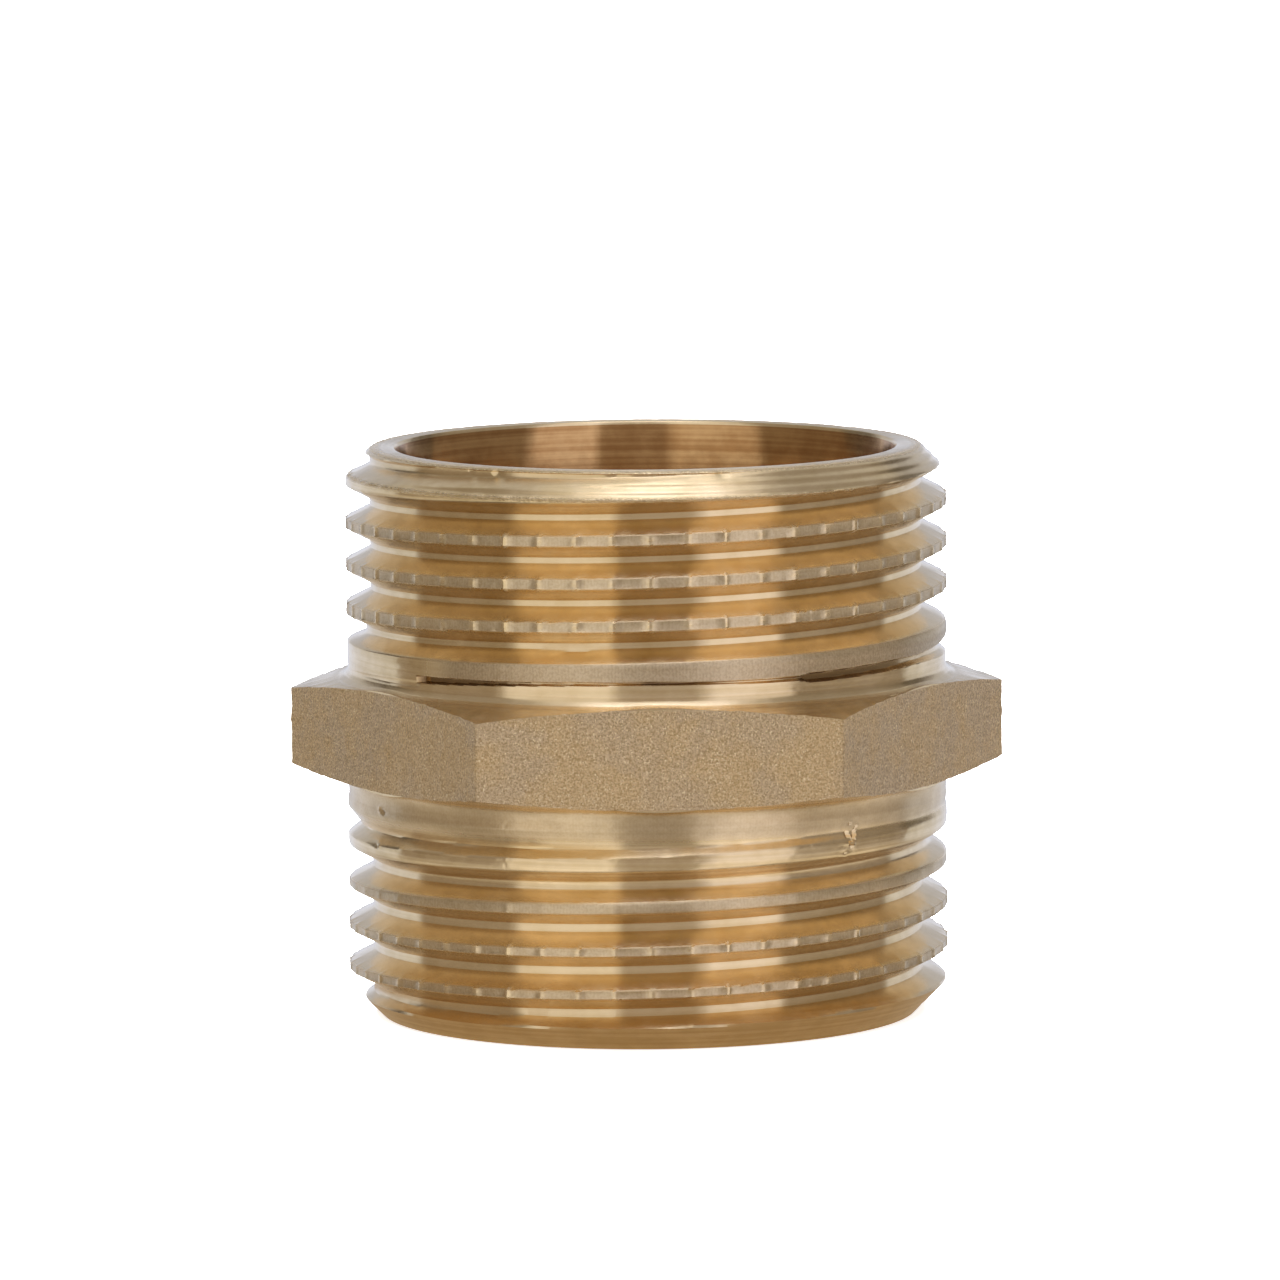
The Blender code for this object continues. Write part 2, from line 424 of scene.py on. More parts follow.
def groove_cut(angle, height, upper, lower):
    """Depth of both grooves below the crests, the last turn of each blended into its tail."""
    upper_turn = degrees_after(angle, UPPER_TAIL_AT)
    upper_limit = upper_tail_height(upper_turn) + PITCH / 2
    upper_share = 1 - smooth_step(upper_turn, *UPPER_TAIL_BLEND)
    upper_end = upper + (upper_tail(upper_turn, height) - upper) * upper_share
    lower_turn = degrees_after(angle, LOWER_TAIL_AT)
    lower_limit = lower_tail_height(lower_turn) - PITCH / 2
    lower_share = smooth_step(lower_turn, *LOWER_TAIL_BLEND)
    lower_end = lower + (lower_tail(lower_turn, height) - lower) * lower_share
    cut = np.where(height > upper_limit, upper, 0.0)
    cut = np.where((height <= upper_limit) & (height > UPPER_NECK), upper_end, cut)
    cut = np.where(height < lower_limit, lower, cut)
    return np.where((height >= lower_limit) & (height < LOWER_NECK), lower_end, cut)


def blank_radius(height):
    """The turned blank without its threads and its hexagon."""
    lower_chamfer = BOTTOM_FACE_RADIUS + height
    upper_chamfer = TOP_FACE_RADIUS + LENGTH - height
    lines = CHAMFER_LINE_HEIGHT * np.cos(FULL_TURN * (height - UPPER_CHAMFER_BOTTOM) / CHAMFER_LINE_SPACING)
    upper_chamfer += lines * smooth_step(height, UPPER_CHAMFER_BOTTOM, UPPER_CHAMFER_BOTTOM + 0.1)
    radius = np.minimum(np.minimum(lower_chamfer, CREST_RADIUS), upper_chamfer)
    neck = smooth_step(height, LOWER_NECK - 2 * NECK_BLEND, LOWER_NECK - NECK_BLEND)
    neck *= 1 - smooth_step(height, UPPER_THREAD_BOTTOM - NECK_BLEND, UPPER_THREAD_BOTTOM)
    return radius - (CREST_RADIUS - NECK_RADIUS) * neck


def chamfer_burr(angle, height):
    """Ragged burr where the upper chamfer meets the thread."""
    ragged = np.clip(0.35 + 0.7 * ring_noise(angle, **CHAMFER_BURR_NOISE), 0.0, 1.4)
    middle = UPPER_CHAMFER_BOTTOM + CHAMFER_BURR_ABOVE
    return CHAMFER_BURR_HEIGHT * ragged * bump(height - middle, CHAMFER_BURR_HALF_WIDTH)


def ledge(angle, height):
    """A thin ledge that the chaser left low in the last upper groove."""
    turn = degrees_after(angle, UPPER_TAIL_AT)
    share = smooth_step(turn, *LEDGE_FROM) * (1 - smooth_step(turn, *LEDGE_TO))
    return LEDGE_RELIEF * share * bump(height - np.interp(turn, *LEDGE_LINE), LEDGE_HALF_WIDTH)


def scratch_depth(angle, height):
    """Depth of the scratches on the lower neck, with the metal they pushed up along their sides."""
    total = np.zeros_like(height)
    for first_angle, first_height, last_angle, last_height in SCRATCHES:
        across = wrapped(angle - math.radians(first_angle)) * NECK_RADIUS
        along = height - first_height
        run = math.radians(last_angle - first_angle) * NECK_RADIUS
        climb = last_height - first_height
        share = np.clip((across * run + along * climb) / (run * run + climb * climb), 0, 1)
        away = np.hypot(across - share * run, along - share * climb)
        total += SCRATCH_DEPTH * bump(away, SCRATCH_HALF_WIDTH)
        total -= BANK_HEIGHT * bump(away - BANK_AWAY, BANK_HALF_WIDTH)
    return total


def lip_tear(angle):
    """How far the upper lip is torn back at each angle."""
    total = np.zeros_like(angle)
    for middle, half_width, depth in LIP_TEARS:
        total += depth * bump(wrapped(angle - math.radians(middle)) * TOP_FACE_RADIUS, half_width)
    return total


def outer_radius(angle, height):
    """Radius of the outside at each angle and height, away from the hexagon."""
    upper, past_upper = thread_relief(angle, height, UPPER_CREST_AT_X, UPPER_CREST_FLAT, UPPER_DEPTH)
    lower, past_lower = thread_relief(angle, height, LOWER_CREST_AT_X, LOWER_CREST_FLAT, LOWER_DEPTH)
    radius = np.minimum(blank_radius(height), CREST_RADIUS - groove_cut(angle, height, upper, lower))
    torn = lip_tear(angle) * (1 - smooth_step(LENGTH - height, *LIP_TEAR_BELOW_TOP))
    radius = radius - scratch_depth(angle, height) - torn
    radius = radius + crest_relief(angle, height, past_upper, past_lower)
    return radius + chamfer_burr(angle, height) + ledge(angle, height)


def hexagon_radius(angle):
    """Radius of the hexagon, with its upright corners rounded."""
    from_flat = angle % SIDE_ANGLE - SIDE_ANGLE / 2
    flat = FLAT_RADIUS / np.cos(from_flat)
    from_corner = SIDE_ANGLE / 2 - np.abs(from_flat)
    centre = (FLAT_RADIUS - CORNER_ROUND) / math.cos(SIDE_ANGLE / 2)
    aside = centre * np.sin(from_corner)
    arc = centre * np.cos(from_corner) + np.sqrt(np.maximum(CORNER_ROUND ** 2 - aside ** 2, 0.0))
    return np.where(aside < CORNER_ROUND / 2, arc, flat)


# ---- rows and columns of the mesh

def column_angles():
    """Angles of the mesh's columns: close together at the ridges, the knocks and the hexagon's corners."""
    angles = []
    for tick in range(TICKS_PER_TURN):
        for aside in TICK_COLUMNS:
            angles.append(TICK_AT + FULL_TURN * tick / TICKS_PER_TURN + aside / CREST_RADIUS)
    for corner in range(6):
        for aside in CORNER_COLUMNS:
            angles.append(SIDE_ANGLE * corner + aside / CORNER_RADIUS)
    for middle, half_width in NICKED_COLUMNS:
        for share in np.linspace(-1, 1, COLUMNS_PER_NICK):
            angles.append(math.radians(middle + half_width * share))
    angles = sorted(angle % FULL_TURN for angle in angles)
    kept = [angles[0]]
    for angle in angles[1:]:
        if (angle - kept[-1]) * CREST_RADIUS > LEAST_COLUMN_GAP:
            kept.append(angle)
    return np.array(kept)


def helix_offsets(crest_flat):
    """Heights of one pitch's rows, measured from the middle of the root: close where the section bends."""
    root = root_half(crest_flat)
    mouth = mouth_half(crest_flat)
    half = [root + aside for aside in ROOT_ROWS]
    half += [(root + mouth) / 2]
    half += [mouth + aside for aside in MOUTH_ROWS]
    return [-offset for offset in reversed(half)] + half + [PITCH / 2]


def shares(count):
    """0, 1 / count, 2 / count and so on, up to just below 1."""
    return [step / count for step in range(count)]


class Outline:
    """Rows of the closed section, up the outside and down the bore, each with one point per column."""

    def __init__(self, angles):
        self.angles = angles
        self.heights = []
        self.radii = []
        self.finishes = []
        self.seam_partner = []

    def add(self, height, radius, finish):
        count = len(self.angles)
        self.seam_partner.append(len(self.heights))
        self.heights.append(np.broadcast_to(height, count).astype(float))
        self.radii.append(np.broadcast_to(radius, count).astype(float))
        self.finishes.append(finish)

    def add_outer(self, height, finish):
        heights = np.broadcast_to(height, len(self.angles)).astype(float)
        self.add(heights, outer_radius(self.angles, heights), finish)

    def add_rings(self, low, high, count, finish):
        """Level rows from low up to just below high."""
        for share in shares(count):
            self.add_outer(low + (high - low) * share, finish)

    def add_helix(self, low, high, crest_at_x, crest_flat, finish):
        """Rows that climb with the thread, held level at the zone's ends. After one turn a row meets the
        row one pitch further up."""
        offsets = helix_offsets(crest_flat)
        first = math.floor((low - crest_at_x - PITCH / 2) / PITCH) - 2
        last = math.ceil((high - crest_at_x - PITCH / 2) / PITCH) + 1
        start = len(self.heights)
        for groove in range(first, last + 1):
            middle = crest_at_x + PITCH / 2 + PITCH * (groove + self.angles / FULL_TURN)
            for offset in offsets:
                self.add_outer(np.clip(middle + offset, low, high), finish)
        end = len(self.heights)
        for row in range(start, end):
            self.seam_partner[row] = min(row + len(offsets), end - 1)


TURNED, THREADED, FORGED, BORED = range(4)


def neck_rise(shoulder, full_rise):
    """How far the curve beside a neck climbs on its way to the shoulder, which the flats cut short."""
    return full_rise * (shoulder - NECK_RADIUS) / (SHOULDER_RADIUS - NECK_RADIUS)


def add_lower_end(outline):
    """The lower chamfer, thread and neck."""
    outline.add_rings(0.0, LOWER_CHAMFER_TOP, LOWER_CHAMFER_ROWS, TURNED)
    outline.add_helix(LOWER_CHAMFER_TOP, LOWER_THREAD_TOP, LOWER_CREST_AT_X, LOWER_CREST_FLAT, THREADED)
    outline.add_rings(LOWER_THREAD_TOP, LOWER_NECK, LOWER_NECK_ROWS, TURNED)


def add_lower_shoulder(outline, shoulder, hexagon, edge):
    """The curve from the lower neck out to the shoulder, then the sloped face out to the hexagon."""
    rise = neck_rise(shoulder, LOWER_SHOULDER - LOWER_NECK)
    for share in shares(LOWER_CURVE_ROWS):
        bend = share * math.pi / 2
        radius = NECK_RADIUS + (shoulder - NECK_RADIUS) * (1 - math.cos(bend))
        outline.add(LOWER_NECK + rise * math.sin(bend), radius, TURNED)
    start = LOWER_NECK + rise
    for share in shares(LOWER_FACE_ROWS):
        outline.add(start + (edge - start) * share, shoulder + (hexagon - shoulder) * share, TURNED)


def add_flats(outline, hexagon, lower_edge, upper_edge):
    """The forged flats, slightly wavy away from their edges."""
    for share in shares(FLAT_ROWS):
        heights = lower_edge + (upper_edge - lower_edge) * share
        fade = math.sin(math.pi * share)
        waves = FLAT_WAVE_HEIGHT * surface_noise(outline.angles, heights, **FLAT_NOISE)
        outline.add(heights, hexagon + waves * fade ** 0.5 - FLAT_SINK * fade ** 0.2, FORGED)


def add_upper_shoulder(outline, shoulder, hexagon, edge):
    """The sloped face from the hexagon in to the shoulder, then the ridged curve in to the neck."""
    end = UPPER_NECK - neck_rise(shoulder, UPPER_NECK - UPPER_SHOULDER)
    for share in shares(UPPER_FACE_ROWS):
        outline.add(edge + (end - edge) * share, hexagon + (shoulder - hexagon) * share, TURNED)
    for share in shares(UPPER_CURVE_ROWS):
        bend = share * math.pi / 2
        radius = shoulder + (NECK_RADIUS - shoulder) * math.sin(bend)
        height = end + (UPPER_NECK - end) * (1 - math.cos(bend))
        ridge = SHOULDER_RIDGE * math.cos(share * SHOULDER_RIDGES * FULL_TURN)
        outline.add(height + ridge, radius + ridge, TURNED)


def add_upper_end(outline):
    """The upper neck, thread and chamfer."""
    outline.add_rings(UPPER_NECK, UPPER_THREAD_BOTTOM, UPPER_NECK_ROWS, TURNED)
    outline.add_helix(UPPER_THREAD_BOTTOM, UPPER_THREAD_TOP, UPPER_CREST_AT_X, UPPER_CREST_FLAT, THREADED)
    outline.add_rings(UPPER_THREAD_TOP, UPPER_CHAMFER_BOTTOM, UPPER_EDGE_ROWS, THREADED)
    outline.add_rings(UPPER_CHAMFER_BOTTOM, LENGTH - RIM_ROUND, UPPER_CHAMFER_ROWS, TURNED)


def add_lip(outline):
    """The rounded lip, uneven and torn, then the slightly crowned upper end face."""
    unevenness = 0.3 + 0.7 * by_degrees(outline.angles, *LIP_UNEVENNESS)
    waves = LIP_WAVE_HEIGHT * unevenness * ring_noise(outline.angles, **LIP_NOISE)
    for step in range(LIP_ROWS):
        bend = step / (LIP_ROWS - 1) * math.pi / 2
        below = RIM_ROUND * (1 - math.sin(bend))
        radius = TOP_FACE_RADIUS + below - LIP_LEAN * (1 - math.cos(bend)) - lip_tear(outline.angles)
        outline.add(LENGTH - LIP_DROP - below + waves * math.sin(bend), radius, TURNED)
    outline.add(LENGTH - 0.01, (TOP_FACE_RADIUS + BORE_RADIUS) / 2 + 0.1, TURNED)
    outline.add(LENGTH, BORE_RADIUS + BORE_CHAMFER + 0.05, TURNED)
    outline.add(LENGTH - 0.03, BORE_RADIUS + BORE_CHAMFER * 0.6, TURNED)


def add_bore(outline):
    """The bore and the lower end face."""
    for share in shares(BORE_ROWS):
        outline.add(LENGTH - BORE_CHAMFER - (LENGTH - 2 * BORE_CHAMFER) * share, BORE_RADIUS, BORED)
    outline.add(BORE_CHAMFER, BORE_RADIUS, TURNED)
    outline.add(0.0, BORE_RADIUS + BORE_CHAMFER, TURNED)
    outline.add(0.0, (BORE_RADIUS + BOTTOM_FACE_RADIUS) / 2, TURNED)


def nipple_outline(angles):
    outline = Outline(angles)
    hexagon = hexagon_radius(angles)
    shoulder = np.minimum(SHOULDER_RADIUS, hexagon)
    waves = EDGE_WAVE_HEIGHT * ring_noise(angles, **EDGE_NOISE)
    slope = SHOULDER_SLOPE * (hexagon - SHOULDER_RADIUS)
    lower_edge = LOWER_SHOULDER + slope + waves
    upper_edge = UPPER_SHOULDER - slope + waves
    add_lower_end(outline)
    add_lower_shoulder(outline, shoulder, hexagon, lower_edge)
    add_flats(outline, hexagon, lower_edge, upper_edge)
    add_upper_shoulder(outline, shoulder, hexagon, upper_edge)
    add_upper_end(outline)
    add_lip(outline)
    add_bore(outline)
    return outline


def crest_chatter(radius, height):
    """How matt the crests are: not at all on their burrs, which are bright, nor near the chamfer."""
    above = radius - CREST_RADIUS
    below_chamfer = UPPER_CHAMFER_BOTTOM - height
    matt = CREST_MATT * (1 - smooth_step(-above, *CREST_MATT_BELOW))
    matt *= 1 - smooth_step(above, *CREST_MATT_ABOVE)
    matt *= smooth_step(below_chamfer, *CREST_MATT_BELOW_CHAMFER)
    in_threads = (height > UPPER_THREAD_BOTTOM) | (height < LOWER_THREAD_TOP)
    in_threads &= (height > LOWER_CHAMFER_TOP) & (height < UPPER_CHAMFER_BOTTOM)
    return matt * in_threads


def land_chatter(angle, radius, height):
    """How matt the lands on both sides of the hexagon are."""
    turn = degrees_after(angle, UPPER_TAIL_AT)
    upper = smooth_step(height - upper_tail_height(turn), *UPPER_LAND_ABOVE_TAIL)
    upper *= height < UPPER_LAND_TOP
    upper *= 1 - smooth_step(NECK_RADIUS - radius, *UPPER_LAND_BELOW_NECK)
    upper *= smooth_step(turn, *UPPER_LAND_DEGREES)
    lower = smooth_step(height, *LOWER_LAND_FROM) * (1 - smooth_step(height, *LOWER_LAND_TO))
    return np.maximum(upper, LOWER_LAND_MATT * lower)


def painted_groove_shade_at(angle, radius, height):
    """Where the narrow end of the last groove gets painted shade, a dark colour standing in for the shadow
    in its recess.
    """
    turn = degrees_after(angle, UPPER_TAIL_AT)
    inside = smooth_step(NECK_RADIUS - radius, *PAINTED_SHADE_BELOW_NECK)
    inside *= bump(height - upper_tail_line(turn), PAINTED_SHADE_REACH)
    return inside * np.interp(turn, *UPPER_TAIL_PAINTED_SHADE)


def burr_at(radius, height):
    """How ragged each point is: 1 along the edges where the chamfer and the lip meet other faces."""
    chamfer_edge = bump(height - UPPER_CHAMFER_BOTTOM + RAGGED_BELOW_CHAMFER, RAGGED_REACH)
    chamfer_edge *= radius > CREST_RADIUS - RAGGED_DEPTH
    lip = bump(height - LENGTH, RAGGED_REACH)
    lip *= smooth_step(radius, TOP_FACE_RADIUS - RAGGED_DEPTH, TOP_FACE_RADIUS)
    return np.maximum(chamfer_edge, lip)


def add_wear_and_shade(mesh):
    """Store where the surface is matt or ragged, and where the last groove gets painted shade, for the
    materials.
    """
    points = np.array([vertex.co for vertex in mesh.vertices]) / MM
    height = points[:, 2]
    angle = np.arctan2(points[:, 1], points[:, 0])
    radius = np.hypot(points[:, 0], points[:, 1])
    wear_and_shade = {
        "chatter": np.maximum(crest_chatter(radius, height), land_chatter(angle, radius, height)),
        "burr": burr_at(radius, height),
        "painted_shade": painted_groove_shade_at(angle, radius, height),
    }
    for name, values in wear_and_shade.items():
        attribute = mesh.attributes.new(name, "FLOAT", "POINT")
        attribute.data.foreach_set("value", values.astype(np.float32))


def outline_points(outline):
    """The points of the mesh, and the number of the point at each row and column. Rows that coincide in
    a column share a point, and the seam joins each row to its partner's first column."""
    columns = len(outline.angles)
    rows = len(outline.heights)
    points = []
    index = np.zeros((rows, columns + 1), int)
    for column in range(columns):
        cosine = math.cos(outline.angles[column])
        sine = math.sin(outline.angles[column])
        previous = (math.inf, math.inf)
        for row in range(rows):
            height = outline.heights[row][column]
            radius = outline.radii[row][column]
            if abs(height - previous[0]) + abs(radius - previous[1]) >= SAME_POINT:
                points.append((radius * cosine * MM, radius * sine * MM, height * MM))
            index[row, column] = len(points) - 1
            previous = (height, radius)
    for row in range(rows):
        index[row, columns] = index[outline.seam_partner[row], 0]
    return points, index


def outline_faces(outline, index):
    """Faces between neighbouring rows, without the corners that coincide, and the finish of each."""
    rows = len(outline.heights)
    faces = []
    finishes = []
    for row in range(rows):
        above = (row + 1) % rows
        for left in range(len(outline.angles)):
            right = left + 1
            corners = [index[row, left], index[row, right], index[above, right], index[above, left]]
            loop = [int(corner) for k, corner in enumerate(corners) if corner != corners[k - 1]]
            if len(loop) > 2:
                faces.append(loop)
                finishes.append(outline.finishes[row])
    return faces, finishes


def outline_mesh(name, outline):
    """Join the rows into one closed mesh."""
    points, index = outline_points(outline)
    faces, finishes = outline_faces(outline, index)
    mesh = bpy.data.meshes.new(name)
    mesh.from_pydata(points, [], faces)
    mesh.polygons.foreach_set("material_index", finishes)
    mesh.update()
    add_wear_and_shade(mesh)
    return mesh


# ---- materials

class Graph:
    """Short calls for building a node tree."""

    def __init__(self, tree):
        self.tree = tree

    def node(self, kind, **settings):
        made = self.tree.nodes.new(kind)
        for key, value in settings.items():
            setattr(made, key, value)
        return made

    def link(self, source, target):
        self.tree.links.new(source, target)

    def feed(self, value, socket):
        if isinstance(value, bpy.types.NodeSocket):
            self.link(value, socket)
        else:
            socket.default_value = value

    def math(self, operation, first, second=0.0):
        made = self.node("ShaderNodeMath", operation=operation)
        self.feed(first, made.inputs[0])
        self.feed(second, made.inputs[1])
        return made.outputs[0]

    def plus(self, first, second):
        return self.math("ADD", first, second)

    def times(self, first, second):
        return self.math("MULTIPLY", first, second)

    def ramp(self, value, low, high, to_low=0.0, to_high=1.0):
        """A smooth rise from to_low at low to to_high at high."""
        made = self.node("ShaderNodeMapRange", interpolation_type="SMOOTHSTEP")
        made.clamp = True
        self.feed(value, made.inputs["Value"])
        made.inputs["From Min"].default_value = low
        made.inputs["From Max"].default_value = high
        made.inputs["To Min"].default_value = to_low
        made.inputs["To Max"].default_value = to_high
        return made.outputs["Result"]

    def noise(self, vector, scale, detail, roughness):
        made = self.node("ShaderNodeTexNoise")
        self.link(vector, made.inputs["Vector"])
        made.inputs["Scale"].default_value = scale
        made.inputs["Detail"].default_value = detail
        made.inputs["Roughness"].default_value = roughness
        return made.outputs["Fac"]

    def noise_along(self, vector, along, scale, detail):
        """Four-dimensional noise that changes with vector slowly and with along at the given scale."""
        made = self.node("ShaderNodeTexNoise", noise_dimensions="4D")
        self.link(vector, made.inputs["Vector"])
        self.link(self.math("MULTIPLY", along, scale), made.inputs["W"])
        made.inputs["Scale"].default_value = 1.0
        made.inputs["Detail"].default_value = detail
        return made.outputs["Fac"]

    def mix_colour(self, factor, first, second):
        made = self.node("ShaderNodeMix", data_type="RGBA")
        self.feed(factor, made.inputs[0])
        self.feed(first, made.inputs[6])
        self.feed(second, made.inputs[7])
        return made.outputs[2]

    def combine(self, x, y, z):
        made = self.node("ShaderNodeCombineXYZ")
        for value, socket in zip((x, y, z), made.inputs):
            self.feed(value, socket)
        return made.outputs[0]

    def attribute(self, name):
        return self.node("ShaderNodeAttribute", attribute_name=name).outputs["Fac"]

    def bump(self, height, strength, distance):
        """A normal that follows height; distance is in millimetres."""
        made = self.node("ShaderNodeBump")
        made.inputs["Strength"].default_value = strength
        made.inputs["Distance"].default_value = distance * MM
        self.link(height, made.inputs["Height"])
        return made.outputs[0]


def new_brass(name, roughness, anisotropy, coat):
    """A metal shader whose highlights stretch across the turning lines, plus its node helper."""
    material = bpy.data.materials.new(name)
    material.use_nodes = True
    graph = Graph(material.node_tree)
    shader = material.node_tree.nodes["Principled BSDF"]
    shader.inputs["Metallic"].default_value = 1.0
    shader.inputs["Roughness"].default_value = roughness
    shader.inputs["Anisotropic"].default_value = anisotropy
    shader.inputs["Anisotropic Rotation"].default_value = 0.25
    shader.inputs["Coat Weight"].default_value = coat
    shader.inputs["Coat Roughness"].default_value = 0.2
    if anisotropy:
        tangent = graph.node("ShaderNodeTangent", direction_type="RADIAL", axis="Z")
        graph.link(tangent.outputs[0], shader.inputs["Tangent"])
    return material, graph, shader


def object_position(graph):
    """Position in millimetres, and its parts."""
    place = graph.node("ShaderNodeTexCoord").outputs["Object"]
    scaled = graph.node("ShaderNodeVectorMath", operation="SCALE")
    graph.link(place, scaled.inputs[0])
    scaled.inputs["Scale"].default_value = 1 / MM
    parts = graph.node("ShaderNodeSeparateXYZ")
    graph.link(scaled.outputs[0], parts.inputs[0])
    return scaled.outputs[0], parts.outputs[0], parts.outputs[1], parts.outputs[2]


def distance_from_axis(graph, x, y):
    return graph.math("SQRT", graph.plus(graph.times(x, x), graph.times(y, y)))


def lead_phase(graph, x, y, z, crest_at_x):
    """Height within one pitch along the thread's lead, from 0 at the middle of a crest."""
    turn = graph.math("DIVIDE", graph.math("ARCTAN2", y, x), FULL_TURN)
    above_crest = graph.math("SUBTRACT", z, crest_at_x)
    rise = graph.math("SUBTRACT", above_crest, graph.times(turn, PITCH))
    return graph.times(graph.math("FRACT", graph.math("DIVIDE", rise, PITCH)), PITCH)


# Tool lines: how fast they change across and along, per millimetre, and how much the radius counts
FINE_LINES = 9.0
BROAD_LINES = 3.0
LINE_DRIFT = 0.05
LINE_RADIUS_SHARE = 0.6


def tool_lines(graph, x, y, across):
    """Fine lines left by the tool: across changes from line to line, and they drift slowly along."""
    slow = graph.combine(graph.times(x, LINE_DRIFT), graph.times(y, LINE_DRIFT), 0.0)
    path = graph.plus(across, graph.times(distance_from_axis(graph, x, y), LINE_RADIUS_SHARE))
    fine = graph.noise_along(slow, path, FINE_LINES, detail=3.0)
    broad = graph.noise_along(slow, path, BROAD_LINES, detail=1.0)
    return graph.plus(graph.times(fine, 0.5), broad)


def matt_grain(graph, place, x, y):
    """Fine grain with a faint hatching across the turning lines."""
    around = graph.math("ARCTAN2", y, x)
    hatching = graph.math("SINE", graph.times(around, HATCHES_PER_TURN))
    return graph.plus(graph.noise(place, scale=7.0, detail=3.0, roughness=0.6), graph.times(hatching, 0.035))


BRASS_LIGHT = (0.88, 0.675, 0.40, 1.0)
BRASS_DARK = (0.73, 0.535, 0.275, 1.0)
MATT_LIGHT = (1.0, 0.80, 0.53, 1.0)
MATT_DARK = (0.86, 0.66, 0.40, 1.0)
# Painted shade: the bore's brass is darker and redder than the outside's, standing in for the dim light deep
# inside the bore
SHADED_BORE_LIGHT = (0.65, 0.39, 0.165, 1.0)
SHADED_BORE_DARK = (0.42, 0.21, 0.075, 1.0)
# Painted shade for the narrow end of the last upper groove, standing in for the shadow in its recess
GROOVE_PAINTED_SHADE = (0.27, 0.16, 0.065, 1.0)
FORGED_WARM_DARK = (0.56, 0.38, 0.185, 1.0)
FORGED_WARM_LIGHT = (0.82, 0.60, 0.33, 1.0)
FORGED_GREY_DARK = (0.52, 0.365, 0.20, 1.0)
FORGED_GREY_LIGHT = (0.78, 0.59, 0.36, 1.0)
FORGED_PAINTED_GLINT = (0.98, 0.80, 0.52, 1.0)
HATCHES_PER_TURN = 570.0


def turned_colour(graph, place, lines, grain, chatter, colours):
    """Clean where the tool cut well, pale where it chattered, and dark with painted shade in the last upper
    groove.
    """
    blotches = graph.noise(place, scale=0.5, detail=4.0, roughness=0.6)
    tone = graph.plus(graph.times(lines, 0.55), graph.times(blotches, 0.45))
    clean = graph.mix_colour(graph.ramp(tone, 0.48, 0.80), *colours)
    matt = graph.mix_colour(graph.ramp(grain, 0.34, 0.64), MATT_DARK, MATT_LIGHT)
    cut = graph.mix_colour(chatter, clean, matt)
    return graph.mix_colour(graph.attribute("painted_shade"), cut, GROOVE_PAINTED_SHADE)


def turned_roughness(graph, place, roughness, chatter, burr):
    """Uneven polish, much rougher where the tool chattered."""
    patches = graph.noise(place, scale=1.3, detail=3.0, roughness=0.6)
    polish = graph.ramp(patches, 0.35, 0.65, roughness - 0.02, roughness + 0.03)
    return graph.plus(polish, graph.plus(graph.times(chatter, 0.40), graph.times(burr, 0.1)))


def turned_height(graph, lines, grain, chatter, burr):
    """Tool lines, the grain of the matt places and crumbs along the burrs, for the bump."""
    crumbs = graph.times(graph.ramp(grain, 0.42, 0.60), graph.times(burr, 4.5))
    matt = graph.times(graph.times(grain, chatter), 0.8)
    return graph.plus(lines, graph.plus(crumbs, matt))


def turned_brass(name, roughness, line_height, coat, crest_at_x, colours):
    """Machined brass. The tool's lines follow the thread where crest_at_x is given, else they are level."""
    material, graph, shader = new_brass(name, roughness, anisotropy=1.0, coat=coat)
    place, x, y, z = object_position(graph)
    chatter = graph.attribute("chatter")
    burr = graph.attribute("burr")
    across = z if crest_at_x is None else lead_phase(graph, x, y, z, crest_at_x)
    lines = tool_lines(graph, x, y, across)
    grain = matt_grain(graph, place, x, y)
    colour = turned_colour(graph, place, lines, grain, chatter, colours)
    height = turned_height(graph, lines, grain, chatter, burr)
    graph.link(colour, shader.inputs["Base Color"])
    graph.link(turned_roughness(graph, place, roughness, chatter, burr), shader.inputs["Roughness"])
    graph.link(graph.bump(height, strength=1.0, distance=line_height), shader.inputs["Normal"])
    return material


def forged_brass(name):
    """The blasted skin of the forging: fine, even grain with a few painted glints of lighter colour, warm
    and grey in patches.
    """
    material, graph, shader = new_brass(name, roughness=0.5, anisotropy=0.0, coat=0.0)
    place = object_position(graph)[0]
    grain = graph.noise(place, scale=8.0, detail=3.0, roughness=0.65)
    pits = graph.noise(place, scale=3.0, detail=2.0, roughness=0.5)
    tone = graph.ramp(grain, 0.34, 0.68)
    stain = graph.ramp(graph.noise(place, scale=0.30, detail=3.0, roughness=0.6), 0.40, 0.62)
    # Painted glints: small spots of lighter colour standing in for sparkling highlights
    painted_glints = graph.ramp(graph.noise(place, scale=11.0, detail=1.0, roughness=0.5), 0.60, 0.70)
    warm = graph.mix_colour(tone, FORGED_WARM_DARK, FORGED_WARM_LIGHT)
    grey = graph.mix_colour(tone, FORGED_GREY_DARK, FORGED_GREY_LIGHT)
    skin = graph.mix_colour(stain, warm, grey)
    height = graph.plus(grain, graph.times(pits, 0.35))
    graph.link(graph.mix_colour(painted_glints, skin, FORGED_PAINTED_GLINT), shader.inputs["Base Color"])
    graph.link(graph.ramp(grain, 0.3, 0.7, 0.58, 0.46), shader.inputs["Roughness"])
    graph.link(graph.bump(height, strength=0.9, distance=0.12), shader.inputs["Normal"])
    return material


